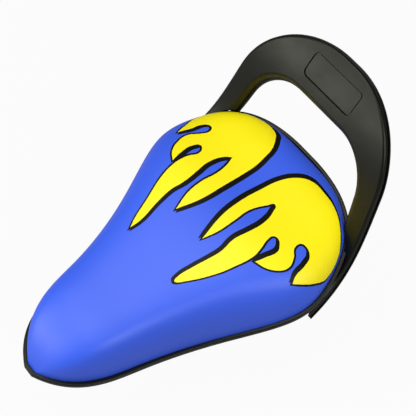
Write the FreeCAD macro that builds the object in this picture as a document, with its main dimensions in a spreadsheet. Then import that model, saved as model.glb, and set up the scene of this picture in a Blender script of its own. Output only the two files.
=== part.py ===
import FreeCAD, Part
import Sketcher
import math
import os

Vector = FreeCAD.Vector

# Child's bicycle saddle with a moulded handle behind it.
# Frame: +X to the nose, +Y to the rider's left, +Z up, millimetres.
# The origin is on the seat post's axis, in the middle of the clamp strap's height.

# Driving dimensions: name, value, what it is
SIZES = [
    ("pad_length", 240, "cushion, tail to nose"),
    ("tail_reach", 112, "post axis back to the cushion's tail"),
    ("tray_height", 50, "post clamp's middle up to the rim at the waist"),
    ("hip_x", 45, "tail to the hip row of the cushion's control net"),
    ("thigh_x", 75, "tail to the thigh row"),
    ("waist_x", 118, "tail to the waist row"),
    ("horn_x", 175, "tail to the horn row"),
    ("tail_tip_half", 9, "half of the short straight across the tail"),
    ("tail_bulge", 1.5, "tail row forward of that straight"),
    ("nose_tip_half", 4, "half of the short straight across the nose"),
    ("nose_bulge", 15, "nose row back from that straight"),
    ("tail_half", 58, "half width of the tail row"),
    ("hip_half", 84, "half width of the hip row"),
    ("thigh_half", 86, "half width of the thigh row"),
    ("waist_half", 60, "half width of the waist row"),
    ("horn_half", 39, "half width of the horn row"),
    ("nose_half", 33, "half width of the nose row"),
    ("tail_rim", 48, "rim height of the tail row above the waist's rim"),
    ("hip_rim", 29, "rim height of the hip row"),
    ("thigh_rim", 16, "rim height of the thigh row"),
    ("horn_rim", -4, "rim height of the horn row"),
    ("nose_rim", 4, "rim height of the nose row"),
    ("tail_crown", 58, "crown height of the tail row above the waist's rim"),
    ("hip_crown", 55, "crown height of the hip row"),
    ("thigh_crown", 60, "crown height of the thigh row"),
    ("waist_crown", 56, "crown height of the waist row"),
    ("horn_crown", 40, "crown height of the horn row"),
    ("nose_crown", 41, "crown height of the nose row"),
    ("flank_fullness", 0.8, "share of the height that the flank stands upright"),
    ("crown_fullness", 0.6, "share of the half width that the crown stays flat"),
    ("cover_thickness", 1.2, "vinyl cover"),
    ("soft_gap", 0.4, "clearance round the soft pieces"),
    ("pan_thickness", 2.5, "plate under the foam"),
    ("pan_inset", 1.5, "edge of the plate inside the foam's edge"),
    ("pan_boss_height", 8, "screw bosses above the plate"),
    ("pan_boss_radius", 4, "screw bosses on the plate"),
    ("lip_width", 3, "tray lip outside the cushion"),
    ("lip_clearance", 0.6, "cushion to the lip's bead"),
    ("bead_height", 1.4, "lip's bead above the rim"),
    ("bead_round", 0.8, "rounded edge of the lip's bead"),
    ("skirt_inset", 9, "tray skirt in from the cushion's outline"),
    ("skirt_depth", 9, "tray skirt below the rim"),
    ("tray_wall", 2.4, "tray floor and skirt"),
    ("rib_depth", 6, "ribs under the tray floor"),
    ("rib_width", 2, "ribs under the tray floor"),
    ("rib_count", 4, "ribs across the tray"),
    ("handle_root_x", 65, "tail forward to the front end of the handle's flange"),
    ("handle_root_z", 12, "flange's height above the waist's rim"),
    ("handle_root_run", 65, "how long the flange runs level before it turns up"),
    ("handle_top_x", 25, "tail back to the top of the handle"),
    ("handle_top_z", 138, "top of the handle above the waist's rim"),
    ("handle_top_run", 55, "how long the top of the handle stays straight"),
    ("handle_lean", 51, "degrees that the handle's top leans back"),
    ("handle_thickness", 7, "handle's edge, front to back"),
    ("handle_wall", 2.8, "handle's front wall and its edge flanges"),
    ("handle_half_base", 90, "half width of the handle at its root"),
    ("handle_half_top", 60, "half width of the handle at its top"),
    ("handle_corner", 67, "outer corner radius of the handle"),
    ("handle_outer_round", 2, "rounded outer edge of the handle's front"),
    ("handle_inner_round", 4.5, "rounded edge of the handle's front at the opening"),
    ("handle_back_lip", 1, "lip that stands out round the handle's back edge"),
    ("arm_width", 12, "width of the handle's arms"),
    ("bar_height", 38, "height of the handle's top bar"),
    ("opening_corner", 36, "corner radius of the hand opening"),
    ("panel_width", 46, "recessed panel on the top bar"),
    ("panel_height", 19, "recessed panel on the top bar"),
    ("panel_corner", 4, "recessed panel's corners"),
    ("panel_depth", 0.3, "recessed panel"),
    ("panel_groove", 1.1, "groove round the panel"),
    ("panel_groove_depth", 1, "groove round the panel"),
    ("rail_radius", 3.5, "steel wire rails"),
    ("rail_clearance", 0.15, "rails in their sockets and grooves"),
    ("rail_half_gap", 22, "rails at the clamp, from the middle"),
    ("rail_height", 11, "rails at the clamp, above the clamp bolt"),
    ("rail_front_x", 34, "post axis forward to the rails' front bend"),
    ("rail_rear_x", 44, "post axis back to the rails' rear bend"),
    ("rail_bend", 26, "rails' bend radius"),
    ("nose_socket_x", 96, "post axis forward to the rails' front ends"),
    ("nose_socket_half_gap", 8, "rails' front ends from the middle"),
    ("nose_socket_drop", 12, "rails' front ends below the waist's rim"),
    ("rear_socket_x", 82, "post axis back to the rails' rear ends"),
    ("rear_socket_half_gap", 36, "rails' rear ends from the middle"),
    ("rear_socket_drop", 2, "rails' rear ends below the waist's rim"),
    ("socket_depth", 18, "length of rail inside a socket"),
    ("socket_wall", 4, "plastic round the rail ends"),
    ("front_screw_x", 72, "post axis forward to the front screws"),
    ("front_screw_half_gap", 11, "front screws from the middle"),
    ("rear_screw_x", 30, "post axis back to the rear screws"),
    ("rear_screw_half_gap", 46, "rear screws from the middle"),
    ("screw_radius", 2, "screws that hold the cushion's plate to the tray"),
    ("screw_length", 11, "screws under the head"),
    ("screw_head_radius", 4, "screw heads"),
    ("screw_head_height", 2.4, "screw heads"),
    ("screw_clearance", 0.25, "screws in the tray's holes"),
    ("screw_bite", 0.05, "screws in the plate's bosses"),
    ("screw_pad_drop", 5, "flat seats of the screw heads below the rim"),
    ("post_radius", 11.1, "seat post"),
    ("strap_thickness", 2.5, "clamp strap"),
    ("strap_height", 26, "clamp strap"),
    ("bolt_x", 24, "post axis back to the clamp bolt"),
    ("bolt_radius", 4, "clamp bolt"),
    ("bolt_clearance", 0.3, "clamp bolt in its holes"),
    ("ear_reach", 14, "strap behind the clamp bolt"),
    ("ear_round", 9, "rounded corners of the strap's ears"),
    ("thread_clearance", 0.05, "nuts on the clamp bolt"),
    ("plate_radius", 17, "round clamp plates"),
    ("plate_split", 1.2, "gap between an inner and an outer plate"),
    ("outer_plate_thickness", 6, "outer clamp plates"),
    ("washer_radius", 8, "washers"),
    ("washer_thickness", 1.6, "washers"),
    ("nut_across", 13, "nuts across the flats"),
    ("nut_height", 6.5, "nuts"),
    ("bolt_end", 2, "bolt beyond each nut"),
]

doc = FreeCAD.newDocument("Saddle")
sheet = doc.addObject("Spreadsheet::Sheet", "Sizes")
for line, (name, value, note) in enumerate(SIZES, start=1):
    sheet.set(f"A{line}", name)
    sheet.set(f"B{line}", str(value))
    sheet.set(f"C{line}", note)
    sheet.setAlias(f"B{line}", name)
doc.recompute()
size = {name: float(sheet.get(name)) for name, _, _ in SIZES}

SIDES = (("left", 1), ("right", -1))
FAR = 400.0
TAIL = -size["tail_reach"]
NOSE = TAIL + size["pad_length"]


# Spline shapes of the saddle: cubic control rows from the tail to the nose

def saddle_rows(grow=0.0):
    """x, half width, rim height and crown height of each control row, the outline grown by a margin."""
    tail_slope = (size["tail_rim"] - size["hip_rim"]) / size["hip_x"]
    nose_slope = (size["nose_rim"] - size["horn_rim"]) / (size["pad_length"] - size["horn_x"])
    tail_rim = size["tail_rim"] + tail_slope * grow
    nose_rim = size["nose_rim"] + nose_slope * grow
    tail = TAIL - grow
    nose = NOSE + grow
    rows = [(tail, size["tail_tip_half"], tail_rim, tail_rim)]
    rows.append((tail + size["tail_bulge"], size["tail_half"] + grow, tail_rim, size["tail_crown"]))
    for name, rim in (("hip", size["hip_rim"]), ("thigh", size["thigh_rim"]), ("waist", 0.0),
                      ("horn", size["horn_rim"])):
        rows.append((TAIL + size[name + "_x"], size[name + "_half"] + grow, rim, size[name + "_crown"]))
    rows.append((nose - size["nose_bulge"], size["nose_half"] + grow, nose_rim, size["nose_crown"]))
    rows.append((nose, size["nose_tip_half"], nose_rim, nose_rim))
    base = size["tray_height"]
    return [(x, half, base + rim, base + crown) for x, half, rim, crown in rows]


def clamped_knots(count, degree):
    """Multiplicities and knots of a spline that starts and ends on its first and last poles."""
    spans = count - degree
    mults = [degree + 1] + [1] * (spans - 1) + [degree + 1]
    return mults, [k / spans for k in range(spans + 1)]


def spline_face(poles, across):
    """Face of a spline surface: cubic along the rows, of the given degree across them."""
    along = min(3, len(poles) - 1)
    row_mults, row_knots = clamped_knots(len(poles), along)
    mults, knots = clamped_knots(len(poles[0]), across)
    surface = Part.BSplineSurface()
    surface.buildFromPolesMultsKnots(poles, row_mults, mults, row_knots, knots, False, False, along, across)
    return surface.toShape()


def sewn_solid(faces):
    """Solid inside faces that meet along their edges."""
    shell = Part.Shell(faces)
    shell.sewShape()
    solid = Part.Solid(shell)
    if solid.Volume < 0:
        solid.reverse()
    return solid


def quad(corners):
    """Flat face with four corners."""
    return Part.Face(Part.makePolygon(corners + corners[:1]))


def walls(rows, low, high):
    """Upright faces round the saddle's plan between two heights above its rim."""
    faces = []
    for side in (1, -1):
        strip = [[Vector(x, side * half, rim + lift) for lift in (low, high)] for x, half, rim, _ in rows]
        faces.append(spline_face(strip, 1))
    for x, half, rim, _ in (rows[0], rows[-1]):
        turns = ((1, low), (-1, low), (-1, high), (1, high))
        faces.append(quad([Vector(x, side * half, rim + lift) for side, lift in turns]))
    return faces


def deck(rows, lift):
    """Face across the saddle's plan at a height above its rim."""
    poles = [[Vector(x, side * half, rim + lift) for side in (1, -1)] for x, half, rim, _ in rows]
    return spline_face(poles, 1)


def slab(grow, low, high):
    """Plate of the saddle's plan, grown sideways, between two heights above its rim."""
    rows = saddle_rows(grow)
    return sewn_solid(walls(rows, low, high) + [deck(rows, low), deck(rows, high)])


def cushion_face(grow):
    """Domed face of the cushion, moved out by an even thickness."""
    poles = []
    for x, half, rim, crown in saddle_rows(grow):
        tip = crown == rim
        top = rim if tip else crown + grow
        flank = rim if tip else rim + size["flank_fullness"] * (crown - rim) + grow
        inner = half * size["crown_fullness"]
        poles.append([Vector(x, half, rim), Vector(x, half, flank), Vector(x, inner, top), Vector(x, 0, top),
                      Vector(x, -inner, top), Vector(x, -half, flank), Vector(x, -half, rim)])
    return spline_face(poles, 3)


def dome(grow, skirt=0.0):
    """Cushion grown by an even thickness, with an upright skirt below its rim."""
    rows = saddle_rows(grow)
    faces = [cushion_face(grow), deck(rows, -skirt)]
    if skirt > 0:
        faces += walls(rows, -skirt, 0)
    return sewn_solid(faces)


# Wires with rounded corners

def rounded_wire(points, radii, closed):
    """Straight runs through points, with a tangent arc of its own radius at each corner."""
    count = len(points)
    corners = range(count) if closed else range(1, count - 1)
    cuts = {}
    for k in corners:
        before = (points[k - 1] - points[k]).normalize()
        after = (points[(k + 1) % count] - points[k]).normalize()
        half = before.getAngle(after) / 2
        run = radii[k] / math.tan(half)
        middle = (before + after).normalize() * (radii[k] / math.sin(half) - radii[k])
        cuts[k] = (points[k] + before * run, points[k] + middle, points[k] + after * run)
    edges = []
    for k in range(count if closed else count - 1):
        after = (k + 1) % count
        start = cuts[k][2] if k in cuts and radii[k] > 0 else points[k]
        end = cuts[after][0] if after in cuts and radii[after] > 0 else points[after]
        edges.append(Part.LineSegment(start, end).toShape())
        if after in cuts and radii[after] > 0:
            edges.append(Part.Arc(*cuts[after]).toShape())
    return Part.Wire(Part.__sortEdges__(edges))


# Cushion: cover, foam and the plate under it

def screw_places():
    """Names and axes of the four screws."""
    for row, sign in (("front", 1), ("rear", -1)):
        for side, hand in SIDES:
            x = sign * size[row + "_screw_x"]
            yield f"{row}_{side}_screw", x, hand * size[row + "_screw_half_gap"]


def rim_height(x):
    """Height of the rim at a distance along the saddle."""
    rows = saddle_rows()
    mults, knots = clamped_knots(len(rows), 3)
    curve = Part.BSplineCurve()
    curve.buildFromPolesMultsKnots([Vector(row[0], 0, row[2]) for row in rows], mults, knots, False, 3)
    wall = Part.Plane(Vector(x, 0, 0), Vector(1, 0, 0))
    return curve.intersect(wall)[0][0].Z


def upright(radius, x, y, low, high):
    """Upright cylinder between two heights."""
    return Part.makeCylinder(radius, high - low, Vector(x, y, low))


def cover_shape():
    """Skin between the cushion's face and the same face moved in, closed by a strip along the rim."""
    pairs = list(zip(saddle_rows(), saddle_rows(-size["cover_thickness"])))
    faces = [cushion_face(0), cushion_face(-size["cover_thickness"])]
    for side in (1, -1):
        strip = [[Vector(x, side * half, rim) for x, half, rim, _ in pair] for pair in pairs]
        faces.append(spline_face(strip, 1))
    for outer, inner in (pairs[0], pairs[-1]):
        turns = ((outer, 1), (outer, -1), (inner, -1), (inner, 1))
        faces.append(quad([Vector(x, side * half, rim) for (x, half, rim, _), side in turns]))
    return sewn_solid(faces)


def foam_shape():
    foam = dome(-size["cover_thickness"] - size["soft_gap"])
    pockets = [slab(size["lip_width"], -size["skirt_depth"], size["pan_thickness"] + size["soft_gap"])]
    for _, x, y in screw_places():
        top = rim_height(x) + size["pan_thickness"] + size["pan_boss_height"] + size["soft_gap"]
        pockets.append(upright(size["pan_boss_radius"] + size["soft_gap"], x, y, 0, top))
    return foam.cut(pockets)


def pan_shape():
    edge = size["cover_thickness"] + size["soft_gap"] + size["pan_inset"]
    pan = slab(-edge, 0, size["pan_thickness"])
    bosses = []
    holes = []
    for _, x, y in screw_places():
        top = rim_height(x) + size["pan_thickness"] + size["pan_boss_height"]
        bosses.append(upright(size["pan_boss_radius"], x, y, rim_height(x) + size["pan_thickness"] / 2, top))
        holes.append(upright(size["screw_radius"] + size["screw_bite"], x, y, 0, top + FAR))
    return pan.fuse(bosses).cut(holes)


# Steel wire rails

def rail_path(hand, extra=0.0):
    """Centre line of a rail: nose socket, down to the clamp, through it and up to the rear socket."""
    base = size["tray_height"]
    points = [
        Vector(size["nose_socket_x"], hand * size["nose_socket_half_gap"], base - size["nose_socket_drop"]),
        Vector(size["rail_front_x"], hand * size["rail_half_gap"], size["rail_height"]),
        Vector(-size["rail_rear_x"], hand * size["rail_half_gap"], size["rail_height"]),
        Vector(-size["rear_socket_x"], hand * size["rear_socket_half_gap"], base - size["rear_socket_drop"]),
    ]
    points[0] += (points[0] - points[1]).normalize() * extra
    points[3] += (points[3] - points[2]).normalize() * extra
    return rounded_wire(points, [0, size["rail_bend"], size["rail_bend"], 0], False)


def rail_tube(hand, radius, extra=0.0):
    """Round bar along a rail's centre line."""
    path = rail_path(hand, extra)
    first = path.Edges[0]
    begin = first.FirstParameter
    ring = Part.Wire(Part.Circle(first.valueAt(begin), first.tangentAt(begin), radius).toShape())
    return path.makePipeShell([ring], True, False)


def socket_shape(end, inward):
    """Boss round the end of a rail, with a gusset above it that reaches the tray's floor."""
    axis = (end - inward).normalize()
    start = end - axis * size["socket_depth"]
    radius = size["rail_radius"] + size["socket_wall"]
    boss = Part.makeCylinder(radius, size["socket_depth"] + size["socket_wall"], start, axis)
    low = min(start.x, end.x)
    run = abs(end.x - start.x)
    half = size["rail_radius"]
    gusset = Part.makeBox(run, 2 * half, FAR / 4, Vector(low, end.y - half, end.z))
    return boss.fuse(gusset.common(below_floor(FAR / 4)))


# Tray with its handle, one moulding

def handle_frame():
    """Root and top of the handle's spine, its heading at the top and the way its front faces there."""
    lean = math.radians(size["handle_lean"])
    root = Vector(TAIL + size["handle_root_x"], 0, size["tray_height"] + size["handle_root_z"])
    top = Vector(TAIL - size["handle_top_x"], 0, size["tray_height"] + size["handle_top_z"])
    return root, top, Vector(-math.sin(lean), 0, math.cos(lean)), Vector(math.cos(lean), 0, math.sin(lean))


def handle_sheet(low, high):
    """Curved sheet of the handle between two distances from its middle surface, front positive."""
    root, top, heading, _ = handle_frame()
    spine = Part.BezierCurve()
    level = root - Vector(size["handle_root_run"], 0, 0)
    spine.setPoles([root, level, top - heading * size["handle_top_run"], top])
    beyond = Part.LineSegment(top, top + heading * size["handle_thickness"])
    path = Part.Wire([spine.toShape(), beyond.toShape()])
    half = size["handle_half_base"] + size["handle_thickness"]
    corners = [root + Vector(0, y, z) for y, z in ((-half, low), (half, low), (half, high), (-half, high))]
    section = Part.makePolygon(corners + [corners[0]])
    return path.makePipeShell([section], True, False)


def front_prism(outline, radii):
    """Prism square to the handle's top, with a rounded outline of (sideways, upward) points from there."""
    _, top, heading, facing = handle_frame()
    points = [top - facing * FAR + Vector(0, y, 0) + heading * rise for y, rise in outline]
    return Part.Face(rounded_wire(points, radii, True)).extrude(facing * (2 * FAR))


def handle_prism(inset):
    """Front outline of the handle: two arms and a top bar, with its edges moved in by an inset."""
    root, top, heading, _ = handle_frame()
    foot = (root - top).dot(heading) - 2 * size["handle_thickness"]
    under = inset - size["bar_height"]
    wide = size["handle_half_base"] - inset
    narrow = size["handle_half_top"] - inset
    slim = size["arm_width"] - 2 * inset
    outline = [(wide, foot), (narrow, -inset), (-narrow, -inset), (-wide, foot), (slim - wide, foot),
               (slim - narrow, under), (narrow - slim, under), (wide - slim, foot)]
    outer = size["handle_corner"] - inset
    inner = size["opening_corner"] + inset
    return front_prism(outline, [0, outer, outer, 0, 0, inner, inner, 0])


def panel_prism(inset):
    """Front outline of the recessed panel in the top bar, with its edges moved in by an inset."""
    half = size["panel_width"] / 2 - inset
    tall = size["panel_height"] / 2 - inset
    middle = -size["bar_height"] / 2
    outline = [(half, middle - tall), (half, middle + tall), (-half, middle + tall), (-half, middle - tall)]
    return front_prism(outline, [size["panel_corner"] - inset] * 4)


def front_rims(body, at_opening):
    """Long edges of the handle's front face, round the opening or round the outside."""
    root, top, heading, _ = handle_frame()
    face = handle_sheet(0, size["handle_thickness"])
    foot = (root - top).dot(heading)
    rims = []
    for edge in body.Edges:
        middle = edge.valueAt((edge.FirstParameter + edge.LastParameter) / 2)
        rise = (middle - top).dot(heading)
        half = size["handle_half_top"] + (size["handle_half_base"] - size["handle_half_top"]) * rise / foot
        inner = rise < -size["bar_height"] / 2 and abs(middle.y) < half - size["arm_width"] / 2
        at_root = all(abs(corner.X - root.x) < 1e-3 for corner in edge.Vertexes)
        long = edge.Length > 2 * size["handle_thickness"]
        if long and not at_root and inner == at_opening and face.isInside(middle, 1e-3, True):
            rims.append(edge)
    return rims


def handle_shape():
    """Handle as a channel: rounded front wall, edge flanges, a lip round the back and the bar's panel."""
    front = size["handle_thickness"] / 2
    wall = size["handle_wall"]
    body = handle_sheet(-front, front).common(handle_prism(0)).Solids[0]
    body = body.makeFillet(size["handle_inner_round"], front_rims(body, True))
    body = body.makeFillet(size["handle_outer_round"], front_rims(body, False))
    lip = handle_sheet(-front, wall / 2 - front).common(handle_prism(-size["handle_back_lip"]))
    hollow = handle_sheet(-2 * front, front - wall).common(handle_prism(wall))
    panel = handle_sheet(front - size["panel_depth"], 2 * front).common(panel_prism(0))
    ring = panel_prism(0).cut(panel_prism(size["panel_groove"]))
    groove = handle_sheet(front - size["panel_groove_depth"], 2 * front).common(ring)
    return body.fuse(lip).cut([hollow, panel, groove])


def below_floor(depth):
    """Space inside the skirt, from a depth below the rim up into the floor."""
    return slab(-size["skirt_inset"] - size["tray_wall"] / 2, -depth, -size["tray_wall"] / 2)


def tray_shape():
    """Tray: floor, lip with a rounded bead round the cushion, and a skirt set in under the floor."""
    wall = size["tray_wall"]
    plate = slab(size["lip_width"], -wall, size["bead_height"])
    decks = sorted(plate.Faces, key=lambda face: face.Area)[-2:]
    top = max(decks, key=lambda face: face.CenterOfMass.z)
    plate = plate.makeFillet(size["bead_round"], top.Edges)
    seat = slab(size["lip_clearance"], -size["soft_gap"], 2 * size["bead_height"])
    hollow = slab(-size["skirt_inset"] - wall, -2 * size["skirt_depth"], wall)
    skirt = slab(-size["skirt_inset"], -size["skirt_depth"], -wall / 2).cut(hollow)
    return plate.cut(seat).fuse(skirt)


def rib_shapes():
    """Ribs under the floor: one along the middle and evenly spaced ones across."""
    depth = below_floor(size["tray_wall"] + size["rib_depth"])
    half = size["rib_width"] / 2
    boxes = [Part.makeBox(FAR, 2 * half, FAR, Vector(TAIL - FAR / 4, -half, -FAR / 4))]
    count = int(size["rib_count"])
    for k in range(1, count + 1):
        x = TAIL + size["pad_length"] * k / (count + 1)
        boxes.append(Part.makeBox(2 * half, FAR, FAR, Vector(x - half, -FAR / 2, -FAR / 4)))
    return [box.common(depth) for box in boxes]


def handle_on_tray():
    """Handle with its flanges trimmed to the tray's skirt and clear of the cushion."""
    inside = slab(size["lip_width"] - size["tray_wall"] / 2, -FAR / 4, size["bead_height"] / 2)
    cushion = dome(size["lip_clearance"] + size["soft_gap"], skirt=size["tray_wall"])
    return handle_shape().cut(inside).cut(cushion)


def base_shape():
    """Tray, handle, rail sockets, ribs and screw seats in one solid."""
    added = [handle_on_tray()] + rib_shapes()
    holes = []
    floor = below_floor(FAR / 4)
    for _, x, y in screw_places():
        rim = rim_height(x)
        radius = size["screw_head_radius"] + size["tray_wall"] / 2
        seat = upright(radius, x, y, rim - size["screw_pad_drop"], FAR)
        added.append(seat.common(floor))
        holes.append(upright(size["screw_radius"] + size["screw_clearance"], x, y, 0, FAR / 2))
    for _, hand in SIDES:
        path = rail_path(hand).OrderedVertexes
        for end, inward in ((path[0].Point, path[1].Point), (path[-1].Point, path[-2].Point)):
            added.append(socket_shape(end, inward))
        holes.append(rail_tube(hand, size["rail_radius"] + size["rail_clearance"], size["rail_clearance"]))
    return tray_shape().fuse(added).cut(holes)


# Screws from below: a round head and a plain shank

def screw_shape(x, y):
    seat = rim_height(x) - size["screw_pad_drop"]
    head = upright(size["screw_head_radius"], x, y, seat - size["screw_head_height"], seat)
    return head.fuse(upright(size["screw_radius"], x, y, seat, seat + size["screw_length"]))


# Clamp: strap, plates, bolt, washers and nuts

ALONG_Y = {1: FreeCAD.Rotation(Vector(1, 0, 0), -90), -1: FreeCAD.Rotation(Vector(1, 0, 0), 90)}
ALONG_X = FreeCAD.Rotation(Vector(0, 1, 0), 90)


def bound(kind, name, formulas):
    """Document object whose properties follow formulas of the sheet's cells."""
    item = doc.addObject(kind, name)
    for prop, formula in formulas.items():
        item.setExpression(prop, formula)
    return item


def place(item, x, y, z, turn=FreeCAD.Rotation()):
    """Puts an object at a place given by formulas, with a fixed turn."""
    item.Placement = FreeCAD.Placement(Vector(), turn)
    for letter, formula in zip("xyz", (x, y, z)):
        item.setExpression(f"Placement.Base.{letter}", formula)
    return item


def cut_from(label, body, tools):
    """Body with its tools cut away."""
    item = doc.addObject("Part::Cut", label)
    item.Base = body
    if len(tools) > 1:
        joined = doc.addObject("Part::MultiFuse", label + "_tools")
        joined.Shapes = tools
        tools = [joined]
    item.Tool = tools[0]
    item.Label = label
    return item


def plane_sketch(body, role, name):
    """Sketch on one of a body's own origin planes."""
    sketch = body.newObject("Sketcher::SketchObject", name)
    plane = [feature for feature in body.Origin.OriginFeatures if feature.Role == role][0]
    sketch.AttachmentSupport = (plane, [""])
    sketch.MapMode = "FlatFace"
    return sketch


def limit(sketch, kind, where, value, name, formula):
    """Named dimension of a sketch, which follows a formula."""
    index = sketch.addConstraint(Sketcher.Constraint(kind, *where, value))
    sketch.renameConstraint(index, name)
    sketch.setExpression(f"Constraints.{name}", formula)


def strap_plan(sketch):
    """Plan of the strap: a half ring round the front of the post and two straight ears behind it."""
    inner = size["post_radius"]
    outer = inner + size["strap_thickness"]
    reach = size["bolt_x"] + size["ear_reach"]
    upward = Vector(0, 0, 1)

    def line(x0, y0, x1, y1):
        return Part.LineSegment(Vector(x0, y0, 0), Vector(x1, y1, 0))

    def half_ring(radius):
        return Part.ArcOfCircle(Part.Circle(Vector(), upward, radius), -math.pi / 2, math.pi / 2)

    sketch.addGeometry([
        half_ring(outer), line(0, outer, -reach, outer), line(-reach, outer, -reach, inner),
        line(-reach, inner, 0, inner), half_ring(inner), line(0, -inner, -reach, -inner),
        line(-reach, -inner, -reach, -outer), line(-reach, -outer, 0, -outer)], False)
    rules = [("Coincident", 0, 3, -1, 1), ("Coincident", 4, 3, -1, 1)]
    rules += [("Tangent", 0, 2, 1, 1), ("Tangent", 7, 2, 0, 1)]
    rules += [("Tangent", 3, 2, 4, 2), ("Tangent", 4, 1, 5, 1)]
    rules += [("Coincident", k, 2, k + 1, 1) for k in (1, 2, 5, 6)]
    rules += [("Horizontal", k) for k in (1, 3, 5, 7)] + [("Vertical", 2), ("Vertical", 6), ("Equal", 1, 7)]
    sketch.addConstraint([Sketcher.Constraint(*rule) for rule in rules])
    limit(sketch, "Radius", (0,), outer, "outside", "Sizes.post_radius + Sizes.strap_thickness")
    limit(sketch, "Radius", (4,), inner, "inside", "Sizes.post_radius")
    limit(sketch, "DistanceX", (1, 2, -1, 1), reach, "reach", "Sizes.bolt_x + Sizes.ear_reach")


def bolt_circle(sketch):
    """Hole through both ears for the bolt."""
    radius = size["bolt_radius"] + size["bolt_clearance"]
    sketch.addGeometry(Part.Circle(Vector(-size["bolt_x"], 0, 0), Vector(0, 0, 1), radius), False)
    sketch.addConstraint(Sketcher.Constraint("PointOnObject", 0, 3, -1))
    limit(sketch, "Radius", (0,), radius, "hole", "Sizes.bolt_radius + Sizes.bolt_clearance")
    limit(sketch, "DistanceX", (0, 3, -1, 1), size["bolt_x"], "back", "Sizes.bolt_x")


def strap_body():
    """Strap bent round the post, drilled for the bolt, with rounded ear corners."""
    body = doc.addObject("PartDesign::Body", "clamp_strap")
    plan = plane_sketch(body, "XY_Plane", "strap_plan")
    strap_plan(plan)
    pad = body.newObject("PartDesign::Pad", "strap_pad")
    pad.Profile = plan
    pad.SideType = "Symmetric"
    pad.setExpression("Length", "Sizes.strap_height")
    hole = plane_sketch(body, "XZ_Plane", "strap_hole")
    bolt_circle(hole)
    doc.recompute()
    pocket = body.newObject("PartDesign::Pocket", "strap_pocket")
    pocket.Profile = hole
    pocket.SideType = "Symmetric"
    pocket.Type = "ThroughAll"
    doc.recompute()
    back = -size["bolt_x"] - size["ear_reach"]
    ends = [f"Edge{k}" for k, edge in enumerate(pocket.Shape.Edges, start=1)
            if all(abs(corner.X - back) < 1e-4 for corner in edge.Vertexes)
            and abs(edge.tangentAt(edge.FirstParameter).y) > 0.9]
    rounding = body.newObject("PartDesign::Fillet", "strap_ends")
    rounding.Base = (pocket, ends)
    rounding.setExpression("Radius", "Sizes.ear_round")
    body.Tip = rounding
    return body


def clamp_plate(label, hand, thickness, groove, start):
    """Round plate on the bolt, with a groove for the rail and a spare groove on the bolt's other side."""
    tall = {"Radius": "Sizes.plate_radius", "Height": thickness}
    disc = bound("Part::Cylinder", label + "_disc", tall)
    through = {"Radius": "Sizes.bolt_radius + Sizes.bolt_clearance", "Height": thickness}
    tools = [bound("Part::Cylinder", label + "_bore", through)]
    for name, sign in (("rail", ""), ("spare", "-")):
        wide = {"Radius": "Sizes.rail_radius + Sizes.rail_clearance", "Height": "2 * Sizes.plate_radius"}
        channel = bound("Part::Cylinder", f"{label}_{name}_groove", wide)
        tools.append(place(channel, "-Sizes.plate_radius", sign + "Sizes.rail_height", groove, ALONG_X))
    plate = cut_from(label, disc, tools)
    return place(plate, "-Sizes.bolt_x", f"{hand} * ({start})", "0", ALONG_Y[hand])


def washer(label, hand, start):
    flat = {"Radius": "Sizes.washer_radius", "Height": "Sizes.washer_thickness"}
    ring = bound("Part::Cylinder", label + "_disc", flat)
    inside = {"Radius": "Sizes.bolt_radius + Sizes.bolt_clearance", "Height": "Sizes.washer_thickness"}
    item = cut_from(label, ring, [bound("Part::Cylinder", label + "_bore", inside)])
    return place(item, "-Sizes.bolt_x", f"{hand} * ({start})", "0", ALONG_Y[hand])


def nut(label, hand, start):
    hexagon = bound("Part::Prism", label + "_hexagon", {"Circumradius": "Sizes.nut_across / sqrt(3)",
                                                        "Height": "Sizes.nut_height"})
    hexagon.Polygon = 6
    inside = {"Radius": "Sizes.bolt_radius + Sizes.thread_clearance", "Height": "Sizes.nut_height"}
    item = cut_from(label, hexagon, [bound("Part::Cylinder", label + "_thread", inside)])
    return place(item, "-Sizes.bolt_x", f"{hand} * ({start})", "0", ALONG_Y[hand])


# Distances from the middle plane where each piece on the bolt starts
EAR_FACE = "Sizes.post_radius + Sizes.strap_thickness"
INNER_THICKNESS = f"Sizes.rail_half_gap - Sizes.plate_split / 2 - ({EAR_FACE})"
OUTER_FACE = "Sizes.rail_half_gap + Sizes.plate_split / 2"
WASHER_FACE = f"{OUTER_FACE} + Sizes.outer_plate_thickness"
NUT_FACE = f"{WASHER_FACE} + Sizes.washer_thickness"
BOLT_HALF = f"{NUT_FACE} + Sizes.nut_height + Sizes.bolt_end"


def clamp_pieces():
    """Every piece of the seat clamp."""
    pieces = [strap_body()]
    formulas = {"Radius": "Sizes.bolt_radius", "Height": f"2 * ({BOLT_HALF})"}
    bolt = bound("Part::Cylinder", "clamp_bolt", formulas)
    pieces.append(place(bolt, "-Sizes.bolt_x", f"-({BOLT_HALF})", "0", ALONG_Y[1]))
    for side, hand in SIDES:
        outward = f"{INNER_THICKNESS} + Sizes.plate_split / 2"
        pieces.append(clamp_plate(side + "_inner_plate", hand, INNER_THICKNESS, outward, EAR_FACE))
        inward = "-Sizes.plate_split / 2"
        thickness = "Sizes.outer_plate_thickness"
        pieces.append(clamp_plate(side + "_outer_plate", hand, thickness, inward, OUTER_FACE))
        pieces.append(washer(side + "_washer", hand, WASHER_FACE))
        pieces.append(nut(side + "_nut", hand, NUT_FACE))
    return pieces


def shaped(label, shape):
    """Document object that holds one solid made above."""
    feature = doc.addObject("Part::Feature", label)
    feature.Shape = shape.Solids[0] if len(shape.Solids) == 1 else shape
    feature.Placement = FreeCAD.Placement()
    feature.Label = label
    return feature


pieces = [shaped("cover", cover_shape()), shaped("foam_pad", foam_shape())]
pieces += [shaped("saddle_pan", pan_shape()), shaped("base_shell", base_shape())]
pieces += [shaped(name, screw_shape(x, y)) for name, x, y in screw_places()]
pieces += [shaped(side + "_rail", rail_tube(hand, size["rail_radius"])) for side, hand in SIDES]
pieces += clamp_pieces()
doc.recompute()

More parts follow.
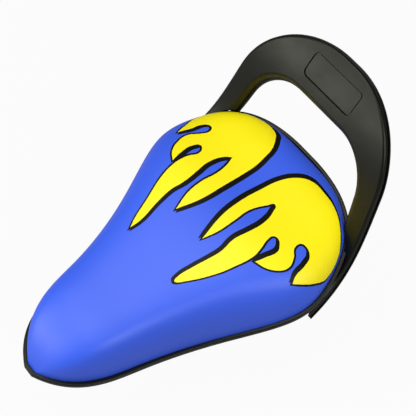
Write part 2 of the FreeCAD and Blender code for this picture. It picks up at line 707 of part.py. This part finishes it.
for item in doc.Objects:
    if "Invalid" in item.State or "Error" in item.State:
        raise RuntimeError(f"{item.Label} failed: {item.State}")
for piece in pieces:
    if piece.Shape.isNull() or not piece.Shape.isValid() or len(piece.Shape.Solids) != 1:
        raise RuntimeError(f"{piece.Label} is not one valid solid")

os.makedirs("parts", exist_ok=True)
for piece in pieces:
    piece.Shape.exportStep(f"parts/{piece.Label}.step")
    print(piece.Label, "volume", round(piece.Shape.Volume), "box", piece.Shape.BoundBox)
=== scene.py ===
# %% [markdown]
# # A child's bicycle saddle with a loop handle
# The saddle is a blue vinyl cushion in a black moulded tray. The tray's rear rises into a handle for
# steadying a learner. Under it are two wire rails and a clamp for the seat post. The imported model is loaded
# first, because every piece made here has to sit exactly where the engineering model says.

# %% Load the frame
import math

import bpy
import numpy as np
from mathutils import Matrix, Vector
from mathutils.geometry import delaunay_2d_cdt


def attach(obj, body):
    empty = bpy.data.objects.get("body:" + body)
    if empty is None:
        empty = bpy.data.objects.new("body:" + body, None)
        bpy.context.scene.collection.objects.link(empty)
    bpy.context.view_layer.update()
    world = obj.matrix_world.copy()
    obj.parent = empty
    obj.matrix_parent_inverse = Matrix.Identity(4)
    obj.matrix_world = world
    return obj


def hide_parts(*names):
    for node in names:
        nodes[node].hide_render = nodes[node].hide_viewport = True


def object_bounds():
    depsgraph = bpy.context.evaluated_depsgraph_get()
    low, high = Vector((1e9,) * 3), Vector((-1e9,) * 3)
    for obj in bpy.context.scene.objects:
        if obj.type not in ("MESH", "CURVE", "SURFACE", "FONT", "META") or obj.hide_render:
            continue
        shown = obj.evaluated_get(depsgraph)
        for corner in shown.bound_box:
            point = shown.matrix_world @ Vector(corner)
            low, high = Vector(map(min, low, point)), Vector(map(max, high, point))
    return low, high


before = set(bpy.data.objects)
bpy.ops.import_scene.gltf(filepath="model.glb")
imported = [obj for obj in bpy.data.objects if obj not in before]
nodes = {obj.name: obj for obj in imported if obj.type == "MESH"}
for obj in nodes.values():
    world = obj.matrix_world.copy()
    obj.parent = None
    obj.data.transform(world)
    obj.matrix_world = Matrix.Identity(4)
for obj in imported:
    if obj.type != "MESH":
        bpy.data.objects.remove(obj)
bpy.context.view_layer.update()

# The loaded nodes come selected, and an operator acts on all that is selected
bpy.ops.object.select_all(action="DESELECT")
print("engineering nodes:", len(nodes))

# %% [markdown]
# ## Small helpers
# Sizes are thought of in millimetres and Blender works in metres, so one value converts. Colours are written
# as the hex values that a painter would read off a swatch, and are turned to the linear values that the
# shaders need. One function adds a shader node, its settings and its links.

# %% Helpers
MM = 0.001


def linear(swatch):
    """Linear colour of an sRGB hex value."""
    parts = [int(swatch[k:k + 2], 16) / 255 for k in (1, 3, 5)]
    return [p / 12.92 if p <= 0.04045 else ((p + 0.055) / 1.055) ** 2.4 for p in parts] + [1.0]


def add_node(material, kind, settings=None, values=None, links=None):
    """Adds a node, sets its properties and input values, and links its inputs to other nodes' outputs."""
    node = material.node_tree.nodes.new(kind)
    for name, value in (settings or {}).items():
        setattr(node, name, value)
    for name, value in (values or {}).items():
        node.inputs[name].default_value = value
    for name, (source, output) in (links or {}).items():
        material.node_tree.links.new(source.outputs[output], node.inputs[name])
    return node


print("one millimetre is", MM, "m")

# %% [markdown]
# ## The cushion's surface
# The real cover is vinyl drawn tight over moulded foam, with no seam and no fold. It could be sculpted, or
# simulated as cloth over a form, but a tight cover shows neither dents nor folds. Such a form is best kept as
# a few control rows from tail to nose, each with a half width, a rim height and a crown height, and a smooth
# surface drawn by them. The rows are those of the engineering model, so the cover stands where its solid
# does.

# %% Control rows of the cushion
# All in millimetres, and heights are above the tray's height
TAIL_X = -112
TRAY_HEIGHT = 50
PAD_LENGTH = 240
TAIL_TIP_HALF = 9
NOSE_TIP_HALF = 4
# How far up the flank's control points lie, and how far out the crown's
FLANK_FULLNESS = 0.8
CROWN_FULLNESS = 0.6
# Name of the row: distance from the tail, half width, rim height, crown height
ROWS = {
    "tail": (1.5, 58, 48, 58),
    "hip": (45, 84, 29, 55),
    "thigh": (75, 86, 16, 60),
    "waist": (118, 60, 0, 56),
    "horn": (175, 39, -4, 40),
    "nose": (225, 33, 4, 41),
}


def control_net():
    """Points of the net, in metres: one row of seven for each control row, rim to rim."""
    tail_rim = ROWS["tail"][2]
    nose_rim = ROWS["nose"][2]
    rows = [(0, TAIL_TIP_HALF, tail_rim, tail_rim)]
    rows += ROWS.values()
    rows.append((PAD_LENGTH, NOSE_TIP_HALF, nose_rim, nose_rim))
    net = []
    for x, half, rim, crown in rows:
        flank = rim + FLANK_FULLNESS * (crown - rim)
        shoulder = half * CROWN_FULLNESS
        section = [(half, rim), (half, flank), (shoulder, crown), (0, crown),
                   (-shoulder, crown), (-half, flank), (-half, rim)]
        net.append([(TAIL_X + x, y, TRAY_HEIGHT + z) for y, z in section])
    return np.array(net) * MM


NET = control_net()
print("control net:", NET.shape[0], "rows of", NET.shape[1])

# %% Points on the cushion
# The flat sheet is as wide as it is long: millimetres from the tail, and from the middle line to the left
SHEET_HALF = PAD_LENGTH / 2
DEGREE = 3
# The last span of a spline is open at its end, so the end is read just before it
LAST_PLACE = 1 - 1e-9
# Directions are measured over a small step, a little inside the edges, where the net folds to a line
NORMAL_STEP = 0.05
EDGE_MARGIN = 0.5


def spline_weights(places, count):
    """Weights of count control points at places from 0 to 1, for a cubic that ends on its end points."""
    knots = np.concatenate([[0] * DEGREE, np.linspace(0, 1, count - DEGREE + 1), [1] * DEGREE])
    places = np.clip(places, 0, LAST_PLACE)[:, None]
    weights = ((knots[:-1] <= places) & (places < knots[1:])).astype(float)
    for order in range(1, DEGREE + 1):
        spans = len(knots) - 1 - order
        rise = knots[order:order + spans] - knots[:spans]
        fall = knots[order + 1:] - knots[1:spans + 1]
        up = (places - knots[:spans]) / np.where(rise > 0, rise, 1) * (rise > 0)
        down = (knots[order + 1:] - places) / np.where(fall > 0, fall, 1) * (fall > 0)
        weights = up * weights[:, :spans] + down * weights[:, 1:]
    return weights


def on_cushion(spots):
    """Places on the cushion of points on the flat sheet, in metres."""
    spots = np.asarray(spots, float)
    along = spline_weights(spots[:, 0] / PAD_LENGTH, NET.shape[0])
    across = spline_weights(0.5 - spots[:, 1] / PAD_LENGTH, NET.shape[1])
    return np.einsum("ni,nj,ijk->nk", along, across, NET)


def cushion_normals(spots):
    """Outward directions of the cushion at points on the flat sheet."""
    x = np.clip(spots[:, 0], EDGE_MARGIN, PAD_LENGTH - EDGE_MARGIN)
    y = np.clip(spots[:, 1], EDGE_MARGIN - SHEET_HALF, SHEET_HALF - EDGE_MARGIN)
    middle = np.stack([x, y], 1)
    forward = on_cushion(middle + (NORMAL_STEP, 0)) - on_cushion(middle - (NORMAL_STEP, 0))
    leftward = on_cushion(middle + (0, NORMAL_STEP)) - on_cushion(middle - (0, NORMAL_STEP))
    normals = np.cross(forward, leftward)
    return normals / np.linalg.norm(normals, axis=1)[:, None]


seat_middle = on_cushion([(PAD_LENGTH / 2, 0)])[0]
print("middle of the seat at", [round(c / MM, 1) for c in seat_middle], "mm")

# %% [markdown]
# ## The printed flames
# Each side carries one flame, a common pattern on children's things: a round lobe behind, and tongues that
# point forward. The print isn't quite the same on both sides, so each has its own outline. It is printed
# before the vinyl is drawn over the foam, so it is drawn flat here, as the printer's artwork is. A Bezier
# curve with smooth handles gives the soft edges, and the tips of some tongues get vector handles, which keep
# them sharp. The black round the yellow is the same outline grown by the width of a line, and a second copy
# of that moved towards the middle line, which makes the line heavier on one side.

# %% Flame outlines
# Knots of each outline: millimetres from the tail and from the middle line, and the letter t on sharp tips
LEFT_FLAME = [
    (128, 17, "t"), (108, 9), (87, 6), (58, 7), (41, 11), (31, 20), (24, 37), (23, 60), (26, 83),
    (35, 100), (43, 110), (56, 110), (72, 101), (92, 90, "t"), (86, 85), (73, 82), (64, 79), (61, 71),
    (63, 66), (70, 65), (77, 71), (87, 76), (96, 75), (104, 69), (108, 60, "t"), (98, 60), (86, 60),
    (81, 57), (77, 51), (79, 47), (86, 47), (96, 51), (106, 55), (121, 57), (137, 57), (152, 51),
    (159, 43), (156, 40), (145, 39), (135, 39), (124, 38), (110, 33), (95, 33), (78, 33), (63, 30),
    (57, 26), (63, 22), (79, 17), (99, 18), (116, 19),
]
RIGHT_FLAME = [
    (128, 25, "t"), (114, 18), (102, 15), (87, 14), (56, 14), (46, 15), (38, 18), (31, 22), (26, 28),
    (21, 38), (17, 50), (15, 66), (15, 80), (18, 93), (24, 104), (33, 110), (42, 107), (48, 101), (54, 96),
    (63, 89), (76, 84, "t"), (65, 80), (53, 79), (50, 74), (54, 68), (61, 69), (71, 74), (83, 74), (96, 70),
    (102, 63, "t"), (90, 63), (77, 62), (70, 58), (71, 55), (77, 52), (88, 56), (104, 60), (121, 61),
    (139, 58), (152, 55), (158, 51, "t"), (151, 47), (135, 46), (121, 44), (109, 40), (94, 39), (77, 40),
    (61, 37), (56, 33, "t"), (65, 29), (78, 27), (98, 29), (114, 29),
]
CURVE_STEPS = 6


def drawn_outline(knots):
    """Points along a smooth closed Bezier curve through the knots."""
    bpy.ops.curve.primitive_bezier_circle_add()
    drawing = bpy.context.object
    drawing.data.splines.clear()
    spline = drawing.data.splines.new("BEZIER")
    spline.bezier_points.add(len(knots) - 1)
    spline.use_cyclic_u = True
    spline.resolution_u = CURVE_STEPS
    for point, knot in zip(spline.bezier_points, knots):
        point.co = (knot[0], knot[1], 0)
        handle = "VECTOR" if len(knot) > 2 else "AUTO"
        point.handle_left_type = handle
        point.handle_right_type = handle
    bpy.ops.object.convert(target="MESH")
    points = np.array([v.co[:2] for v in bpy.context.object.data.vertices])
    bpy.data.objects.remove(bpy.context.object)
    return points


left_flame = drawn_outline(LEFT_FLAME)
right_flame = drawn_outline(RIGHT_FLAME)
print("flame outlines:", len(left_flame), "and", len(right_flame), "points")

# %% Yellow and black shapes of the print
# Width of the black line in millimetres, and the longest reach of its tips in widths
LINE_WIDTH = 1.9
MITRE = 1.6
# The heavier black: millimetres towards the nose, and away from the middle line
SHADOW = (-0.7, -2.9)
SHORTEST = 1e-6
VINYL, YELLOW_INK, BLACK_INK = 0, 1, 2


def anticlockwise(outline):
    """The same outline, run anticlockwise."""
    area = np.cross(outline, np.roll(outline, -1, 0)).sum()
    return outline if area > 0 else outline[::-1]


def grown(outline, width):
    """Anticlockwise outline moved outwards by a width, with mitred tips."""
    step = np.roll(outline, -1, 0) - outline
    after = np.stack([step[:, 1], -step[:, 0]], 1) / np.linalg.norm(step, axis=1)[:, None]
    before = np.roll(after, 1, 0)
    middle = before + after
    length = np.maximum(np.linalg.norm(middle, axis=1), SHORTEST)
    reach = width * np.minimum(2 / length, MITRE)
    return outline + (reach / length)[:, None] * middle


def print_shapes():
    """Outlines of the print on both sides, with the ink of each."""
    shapes = []
    for flame, side in ((left_flame, 1), (right_flame, -1)):
        yellow = anticlockwise(flame * (1, side))
        black = grown(yellow, LINE_WIDTH)
        shapes.append((BLACK_INK, black))
        shapes.append((BLACK_INK, black + np.multiply(SHADOW, (1, side))))
        shapes.append((YELLOW_INK, yellow))
    return shapes


printed = print_shapes()
print("shapes of the print:", len(printed))

# %% [markdown]
# ## The cover's face
# A picture mapped on the cushion would do for the print, but a picture blurs close up and is lost on the bare
# mesh. Here the faces themselves carry the colours: the flat outlines are laid over a fine grid and both are
# triangulated together, so that the edges of the mesh follow the edges of the print. Each triangle then knows
# which outlines it lies in. Later, every point is put on the cushion.

# %% Flat sheet with the print cut in
GRID = 2.0
# Points nearer than this are taken as one, and the triangulation fills the whole sheet
MERGE = 1e-4
WHOLE_SHEET = 0


def showing(inks):
    """Ink that shows where shapes lie over each other: yellow is printed over black."""
    if YELLOW_INK in inks:
        return YELLOW_INK
    return BLACK_INK if BLACK_INK in inks else VINYL


def flat_cover():
    """Flat points, triangles and the ink of each triangle."""
    count = int(PAD_LENGTH / GRID) + 1
    rows = np.linspace(0, PAD_LENGTH, count)
    columns = np.linspace(SHEET_HALF, -SHEET_HALF, count)
    points = [(x, y) for x in rows for y in columns]
    outlines = [[0, count - 1, count * count - 1, count * (count - 1)]]
    inks = [VINYL]
    for ink, outline in printed:
        outlines.append(list(range(len(points), len(points) + len(outline))))
        points += [tuple(p) for p in outline]
        inks.append(ink)
    made = delaunay_2d_cdt([Vector(p) for p in points], [], outlines, WHOLE_SHEET, MERGE)
    spots, _, faces, _, _, holders = made
    found = [showing({inks[k] for k in held}) for held in holders]
    return np.array([tuple(p) for p in spots]), [list(face) for face in faces], found


flat, triangles, triangle_inks = flat_cover()
print("cover triangles:", len(triangles), "of which printed:", sum(ink != VINYL for ink in triangle_inks))

# %% [markdown]
# ## The cushion's underside
# Under the foam lies the plastic plate that the screws bite into, with four bosses that stand up into the
# foam. A cushion closed by a flat sheet would run through them, so its underside gets a bed for the plate: a
# narrow hem along the rim, a low wall, a roof just above the plate, and a round pocket over each boss. The
# roof is triangulated in plan, as the print was, with the pockets left open.

# %% Bed for the plate
# All in millimetres: the hem's width, the roof above the rim, and the pockets above the roof
HEM = 2.8
BED_DEPTH = 2.9
POCKET_DEPTH = 8
POCKET_RADIUS = 4.4
POCKET_SIDES = 32
BOSSES = [(72, 11), (72, -11), (-30, 46), (-30, -46)]
HEIGHT_SAMPLES = 2001


def bed_rows():
    """Distance from the tail, half width and rim height of each control row, moved in by the hem."""
    tail_fall = (ROWS["tail"][2] - ROWS["hip"][2]) / ROWS["hip"][0]
    nose_rise = (ROWS["nose"][2] - ROWS["horn"][2]) / (PAD_LENGTH - ROWS["horn"][0])
    moved = {"tail": (HEM, -HEM * tail_fall), "nose": (-HEM, -HEM * nose_rise)}
    rows = []
    for name, (x, half, rim, _) in ROWS.items():
        forward, higher = moved.get(name, (0, 0))
        rows.append((x + forward, half - HEM, rim + higher))
    rows.insert(0, (HEM, TAIL_TIP_HALF, rows[0][2]))
    rows.append((PAD_LENGTH - HEM, NOSE_TIP_HALF, rows[-1][2]))
    return np.array(rows)


def bed_places(spots, lift):
    """Places inside the hem of points on the flat sheet, at a height above the rim, in metres."""
    rows = bed_rows()
    x, half, rim = (spline_weights(spots[:, 0] / PAD_LENGTH, len(rows)) @ rows).T
    return np.stack([TAIL_X + x, half * spots[:, 1] * 2 / PAD_LENGTH, TRAY_HEIGHT + rim + lift], 1) * MM


def roof_height(x):
    """Height of the roof at distances along the saddle, in metres."""
    along = np.linspace(0, PAD_LENGTH, HEIGHT_SAMPLES)
    middle = bed_places(np.stack([along, np.zeros(HEIGHT_SAMPLES)], 1), BED_DEPTH)
    return np.interp(x, middle[:, 0], middle[:, 2])


print("roof over the bosses at", [round(roof_height(x * MM) / MM, 1) for x, _ in BOSSES], "mm")

# %% Plan of the roof
# A grid inside the outline makes the roof follow the rim's rise: rows every few millimetres, with columns
# out to nine tenths of the half width. No point of it comes near a pocket.
ROOF_STEP = 4
ROOF_REACH = 108
ROOF_COLUMNS = 19
POCKET_MARGIN = 1


def roof_plan(rim_spots):
    """Points of the roof in plan, in millimetres, and the outlines of the roof and of each pocket."""
    plan = [tuple(p) for p in bed_places(rim_spots, BED_DEPTH)[:, :2] / MM]
    outlines = [list(range(len(plan)))]
    turns = np.arange(POCKET_SIDES) * 2 * math.pi / POCKET_SIDES
    circle = np.stack([np.cos(turns), np.sin(turns)], 1) * POCKET_RADIUS
    for boss in BOSSES:
        outlines.append(list(range(len(plan), len(plan) + POCKET_SIDES)))
        plan += [tuple(p) for p in circle + boss]
    columns = np.linspace(-ROOF_REACH, ROOF_REACH, ROOF_COLUMNS)
    grid = [(x, y) for x in range(ROOF_STEP, PAD_LENGTH, ROOF_STEP) for y in columns]
    for spot in bed_places(np.array(grid, float), 0)[:, :2] / MM:
        if min(math.dist(spot, boss) for boss in BOSSES) > POCKET_RADIUS + POCKET_MARGIN:
            plan.append(tuple(spot))
    return plan, outlines


def rim_of(spots):
    """Numbers of the points along the edge of the flat sheet: tail, right rim, nose, left rim."""
    x, y = spots.T
    tail = sorted(np.where(x < GRID / 4)[0], key=lambda k: -y[k])
    right = sorted(np.where(y < GRID / 4 - SHEET_HALF)[0], key=lambda k: x[k])
    nose = sorted(np.where(x > PAD_LENGTH - GRID / 4)[0], key=lambda k: y[k])
    left = sorted(np.where(y > SHEET_HALF - GRID / 4)[0], key=lambda k: -x[k])
    return tail[:-1] + right[:-1] + nose[:-1] + left[:-1]


rim = rim_of(flat)
print("points along the rim:", len(rim))

# %% Faces of the underside


def strip(outer, inner):
    """Faces between two rings of points that run anticlockwise, to be seen from below and from the inside."""
    count = len(outer)
    return [[outer[k], inner[k], inner[(k + 1) % count], outer[(k + 1) % count]] for k in range(count)]


def cushion_bed(first):
    """Points and faces of the underside, its new points numbered on from first."""
    plan, outlines = roof_plan(flat[rim])
    made = delaunay_2d_cdt([Vector(p) for p in plan], [], outlines, WHOLE_SHEET, MERGE)
    spots, _, faces, sources, _, holders = made
    roof = np.array([tuple(p) for p in spots]) * MM
    points = [bed_places(flat[rim], 0), np.column_stack([roof, roof_height(roof[:, 0])])]
    hem = list(range(first, first + len(rim)))
    start = first + len(rim)
    number = {source: start + k for k, given in enumerate(sources) for source in given}
    bed = strip(rim, hem) + strip(hem, [number[k] for k in outlines[0]])
    for face, held in zip(faces, holders):
        if list(held) == [0]:
            bed.append([start + k for k in reversed(face)])
    start += len(roof)
    for outline, (x, _) in zip(outlines[1:], BOSSES):
        low = [number[k] for k in outline]
        high = list(range(start, start + POCKET_SIDES))
        top = roof_height(x * MM) + POCKET_DEPTH * MM
        points.append(np.array([(*plan[k], top / MM) for k in outline]) * MM)
        bed += strip(low, high) + [high[::-1]]
        start += POCKET_SIDES
    return np.concatenate(points), bed


bed_points, underside = cushion_bed(len(flat))
print("underside faces:", len(underside))

# %% [markdown]
# ## The cover as one object
# Face and underside share the points of the rim, so the mesh is closed. The face's shading is taken from the
# smooth surface itself, because the triangles along the print are slivers that would shade unevenly, and the
# underside is shaded flat.

# %% Cover object
places = np.concatenate([on_cushion(flat), bed_points])
faces = [[int(k) for k in face] for face in triangles + underside]
cover_mesh = bpy.data.meshes.new("cushion_cover")
cover_mesh.from_pydata([tuple(p) for p in places], [], faces)
cover_mesh.polygons.foreach_set("material_index", triangle_inks + [VINYL] * len(underside))
cover_mesh.polygons.foreach_set("use_smooth", [True] * len(faces))
cover_mesh.update()

face_normals = cushion_normals(flat)
corner_normals = []
for polygon in cover_mesh.polygons:
    on_face = polygon.index < len(triangles)
    for k in polygon.vertices:
        corner_normals.append(tuple(face_normals[k] if on_face else polygon.normal))
cover_mesh.normals_split_custom_set(corner_normals)
cover = bpy.data.objects.new("cushion_cover", cover_mesh)
bpy.context.collection.objects.link(cover)
print("cover vertices:", len(cover_mesh.vertices))

# %% [markdown]
# ## Vinyl and ink
# The cover is calendered PVC, satin, with a pressed grain so fine that it only softens the highlight. The
# flames are screen-printed solvent ink. A scan of vinyl could be mapped on, but noise on the object's own
# coordinates has no seam and no fixed size, so two close shades in soft clouds and a fine bump do it.

# %% Vinyl and ink materials
# Sizes in millimetres. The pressed grain is really about 0.4 and would not show, so it is drawn coarser.
VINYL_CLOUDS = 60
VINYL_GRAIN = 1.2
VINYL_GRAIN_DEPTH = 0.2
VINYL_GRAIN_STRENGTH = 0.06
VINYL_ROUGHNESS = (0.41, 0.49)


def new_material(name):
    """Empty node material, and its texture coordinates."""
    material = bpy.data.materials.new(name)
    material.use_nodes = True
    material.node_tree.nodes.clear()
    return material, add_node(material, "ShaderNodeTexCoord")


def surface(material, values, links):
    """Principled shader on the material's output."""
    shader = add_node(material, "ShaderNodeBsdfPrincipled", values=values, links=links)
    add_node(material, "ShaderNodeOutputMaterial", links={"Surface": (shader, "BSDF")})


def lacquered(name, colour, shade, sheen):
    """Printed or plain vinyl: two close shades in soft clouds, and a fine grain."""
    material, place = new_material(name)
    clouds = add_node(material, "ShaderNodeTexNoise",
                      values={"Scale": 1 / (VINYL_CLOUDS * MM), "Detail": 2},
                      links={"Vector": (place, "Object")})
    tint = add_node(material, "ShaderNodeMix", {"data_type": "RGBA"},
                    {6: linear(colour), 7: linear(shade)}, {0: (clouds, "Fac")})
    grain = add_node(material, "ShaderNodeTexNoise",
                     values={"Scale": 1 / (VINYL_GRAIN * MM), "Detail": 3},
                     links={"Vector": (place, "Object")})
    bump = add_node(material, "ShaderNodeBump",
                    values={"Strength": VINYL_GRAIN_STRENGTH, "Distance": VINYL_GRAIN_DEPTH * MM},
                    links={"Height": (grain, "Fac")})
    gloss = add_node(material, "ShaderNodeMapRange",
                     values={"To Min": VINYL_ROUGHNESS[0], "To Max": VINYL_ROUGHNESS[1]},
                     links={"Value": (clouds, "Fac")})
    surface(material, {"Specular IOR Level": sheen},
            {"Base Color": (tint, 2), "Roughness": (gloss, "Result"), "Normal": (bump, "Normal")})
    return material


# Satin vinyl gives an even blue with broad soft highlights
blue_vinyl = lacquered("satin_blue_vinyl", "#375CDC", "#3458DA", 0.4)
# Yellow ink covers the blue fully and is as satin as the vinyl
yellow_ink = lacquered("yellow_ink_on_vinyl", "#F5E600", "#F1E000", 0.4)
# Black ink dries dull, so it stays black where the vinyl has its highlights
black_ink = lacquered("black_ink_on_vinyl", "#0C0B09", "#0A0907", 0.15)
for material in (blue_vinyl, yellow_ink, black_ink):
    cover_mesh.materials.append(material)
print("cover materials:", [m.name for m in cover_mesh.materials])

# %% [markdown]
# ## Moulded plastic, powder coat and metal
# The tray is black polypropylene from a spark-eroded mould: dull, with a fine texture that scatters a broad
# grey sheen. The plate under the foam is the same plastic, less black. The rails are wire with a black
# powder coat, which melts to a surface much like the plastic's, so one function serves for both. The clamp
# and the screws are steel with a thin zinc plating, clouded by its bath.

# %% Plastic, powder coat and metal materials
# Sizes in millimetres. A spark-eroded texture is really about 0.1, and is drawn coarser so that it shows.
MOULD_GRIT = 0.5
POWDER_GRIT = 0.8
GRIT_DEPTH = 0.1
GRIT_STRENGTH = 0.12
SHEEN_CLOUDS = 20
SHEEN_SPREAD = 0.1
PLASTIC_SPECULAR = 0.3
PLASTIC_TINT = "#F4F4E0"
ZINC_BLOOM = 6
ZINC_SPREAD = 0.08


def moulded(name, colour, roughness, grit):
    """Textured dark plastic or powder coat: a fine grit and a slightly uneven sheen."""
    material, place = new_material(name)
    texture = add_node(material, "ShaderNodeTexNoise",
                       values={"Scale": 1 / (grit * MM), "Detail": 2},
                       links={"Vector": (place, "Object")})
    bump = add_node(material, "ShaderNodeBump",
                    values={"Strength": GRIT_STRENGTH, "Distance": GRIT_DEPTH * MM},
                    links={"Height": (texture, "Fac")})
    clouds = add_node(material, "ShaderNodeTexNoise",
                      values={"Scale": 1 / (SHEEN_CLOUDS * MM), "Detail": 6},
                      links={"Vector": (place, "Object")})
    gloss = add_node(material, "ShaderNodeMapRange",
                     values={"To Min": roughness - SHEEN_SPREAD, "To Max": roughness + SHEEN_SPREAD},
                     links={"Value": (clouds, "Fac")})
    surface(material,
            {"Base Color": linear(colour), "Specular IOR Level": PLASTIC_SPECULAR,
             "Specular Tint": linear(PLASTIC_TINT)},
            {"Roughness": (gloss, "Result"), "Normal": (bump, "Normal")})
    return material


def plated(name, colour, roughness):
    """Plated steel with a cloudy bloom in its gloss."""
    material, place = new_material(name)
    bloom = add_node(material, "ShaderNodeTexNoise",
                     values={"Scale": 1 / (ZINC_BLOOM * MM), "Detail": 4},
                     links={"Vector": (place, "Object")})
    gloss = add_node(material, "ShaderNodeMapRange",
                     values={"To Min": roughness - ZINC_SPREAD, "To Max": roughness + ZINC_SPREAD},
                     links={"Value": (bloom, "Fac")})
    surface(material, {"Base Color": linear(colour), "Metallic": 1.0}, {"Roughness": (gloss, "Result")})
    return material


# Black moulded plastic is nearly black, and grey only where a lamp is mirrored in it
black_plastic = moulded("black_moulded_polypropylene", "#060606", 0.38, MOULD_GRIT)
# The plate's plastic is a duller dark grey
dark_plastic = moulded("dark_moulded_polypropylene", "#272727", 0.5, MOULD_GRIT)
# Zinc plating is a pale cool metal with blurred reflections
zinc = plated("zinc_plated_steel", "#B9BCBE", 0.34)
# Powder coat is a soft black with a slight orange peel
powder_coat = moulded("black_powder_coated_steel_wire", "#101010", 0.48, POWDER_GRIT)

FINISH = {"base_shell": black_plastic, "saddle_pan": dark_plastic, "left_rail": powder_coat,
          "right_rail": powder_coat}
finished = [name for name in nodes if name not in ("cover", "foam_pad")]
for name in finished:
    nodes[name].data.materials.clear()
    nodes[name].data.materials.append(FINISH.get(name, zinc))
print("engineering nodes finished:", len(finished))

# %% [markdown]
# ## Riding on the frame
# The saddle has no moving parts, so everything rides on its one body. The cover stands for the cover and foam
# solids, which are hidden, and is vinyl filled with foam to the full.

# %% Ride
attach(cover, "root")
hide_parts("cover", "foam_pad")
print("padded:", cover.name)

# %% [markdown]
# ## Floor and background
# The photograph has a plain white ground. White paper lit from above would throw much light up at the flanks
# and the black lip, so the floor is grey paper to the light, and only the camera sees it as white. A little
# of its own shade is left in what the camera sees, so that it keeps the saddle's shadow. The world round it
# is white to the camera in the same way, and gives a faint even light.

# %% Floor and world
WHITE = (1, 1, 1, 1)
FLOOR_SIZE = 6
FLOOR_PAPER = "#9A9A9A"
# Shares of white in the floor, to the camera and in reflections
SEEN_WHITE = 0.95
MIRRORED_WHITE = 0.05
SKY_LIGHT = 0.12

bpy.ops.mesh.primitive_plane_add(size=FLOOR_SIZE, location=(0, 0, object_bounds()[0][2]))
floor = bpy.context.object
floor.name = "floor"
paper, _ = new_material("white_paper")
paper_shade = add_node(paper, "ShaderNodeBsdfDiffuse", values={"Color": linear(FLOOR_PAPER)})
paper_white = add_node(paper, "ShaderNodeEmission", values={"Color": WHITE, "Strength": 1.0})
ray = add_node(paper, "ShaderNodeLightPath")
mirrored = add_node(paper, "ShaderNodeMath", {"operation": "MULTIPLY"},
                    {1: MIRRORED_WHITE}, {0: (ray, "Is Glossy Ray")})
share = add_node(paper, "ShaderNodeMath", {"operation": "MULTIPLY_ADD"},
                 {1: SEEN_WHITE}, {0: (ray, "Is Camera Ray"), 2: (mirrored, 0)})
blend = add_node(paper, "ShaderNodeMixShader",
                 links={0: (share, 0), 1: (paper_shade, 0), 2: (paper_white, 0)})
add_node(paper, "ShaderNodeOutputMaterial", links={"Surface": (blend, 0)})
floor.data.materials.append(paper)

world = bpy.data.worlds.new("studio")
bpy.context.scene.world = world
world.use_nodes = True
sky = world.node_tree.nodes["Background"]
seen = add_node(world, "ShaderNodeLightPath")
level = add_node(world, "ShaderNodeMath", {"operation": "MULTIPLY_ADD"},
                 {1: 1 - SKY_LIGHT, 2: SKY_LIGHT}, {0: (seen, "Is Camera Ray")})
world.node_tree.links.new(level.outputs[0], sky.inputs["Strength"])
sky.inputs["Color"].default_value = WHITE
print("floor at", round(floor.location.z / MM, 1), "mm")

# %% [markdown]
# ## Lamps
# Soft studio light comes from broad lamps. The key lamp stands ahead on the right and gives the handle its
# sheen, a small low one beside it brightens the upper bar, one above lights the seat, and one on the left
# fills the flank that faces the camera.

# %% Lamps
# Name of the lamp: place in metres, width in metres, power in watts
LAMPS = {
    "key_lamp": ((0.9, -0.48, 0.62), 0.75, 6.4),
    "bar_lamp": ((0.98, -0.53, 0.2), 0.4, 2.7),
    "top_lamp": ((0.2, -0.28, 1.25), 0.9, 9.8),
    "fill_lamp": ((0.0, 0.88, 0.75), 0.7, 7.4),
}
LAMP_AIM = Vector((0, 0, 0.08))
for name, (spot, wide, power) in LAMPS.items():
    lamp = bpy.data.lights.new(name, "AREA")
    lamp.size = wide
    lamp.energy = power
    holder = bpy.data.objects.new(name, lamp)
    holder.location = spot
    holder.rotation_euler = (LAMP_AIM - Vector(spot)).to_track_quat("-Z", "Y").to_euler()
    bpy.context.collection.objects.link(holder)
print("lamps:", len(LAMPS))

# %% [markdown]
# ## Camera
# The camera stands ahead of the saddle on its left, high up and a little rolled. Its angles and distance
# were fitted to the outlines in the photograph, and the shift puts the lens's axis where the fit has it.

# %% Camera
# Degrees, millimetres, and pixels of the square picture
AZIMUTH, ELEVATION, ROLL = 137.1, 60.76, 5.36
DISTANCE = 722
AIM = (-12, 0, 100)
FOCUS_PIXELS = 1053
CENTRE = (196.1, 227.8)
PICTURE = 416
SENSOR = 36

turn, rise, roll = (math.radians(a) for a in (AZIMUTH, ELEVATION, ROLL))
back = Vector((math.sin(turn) * math.cos(rise), -math.cos(turn) * math.cos(rise), math.sin(rise)))
right = Vector((math.cos(turn), math.sin(turn), 0))
up = back.cross(right)
lens_right = right * math.cos(roll) + up * math.sin(roll)
lens_up = up * math.cos(roll) - right * math.sin(roll)
stand = Matrix.Translation((Vector(AIM) + back * DISTANCE) * MM)
camera = bpy.data.objects.new("camera", bpy.data.cameras.new("camera"))
camera.matrix_world = stand @ Matrix((lens_right, lens_up, back)).transposed().to_4x4()
camera.data.sensor_width = SENSOR
camera.data.lens = FOCUS_PIXELS / PICTURE * SENSOR
camera.data.shift_x = (PICTURE / 2 - CENTRE[0]) / PICTURE
camera.data.shift_y = (CENTRE[1] - PICTURE / 2) / PICTURE
bpy.context.collection.objects.link(camera)
bpy.context.scene.camera = camera
bpy.context.scene.view_settings.view_transform = "Standard"
print("lens", round(camera.data.lens, 1), "mm")
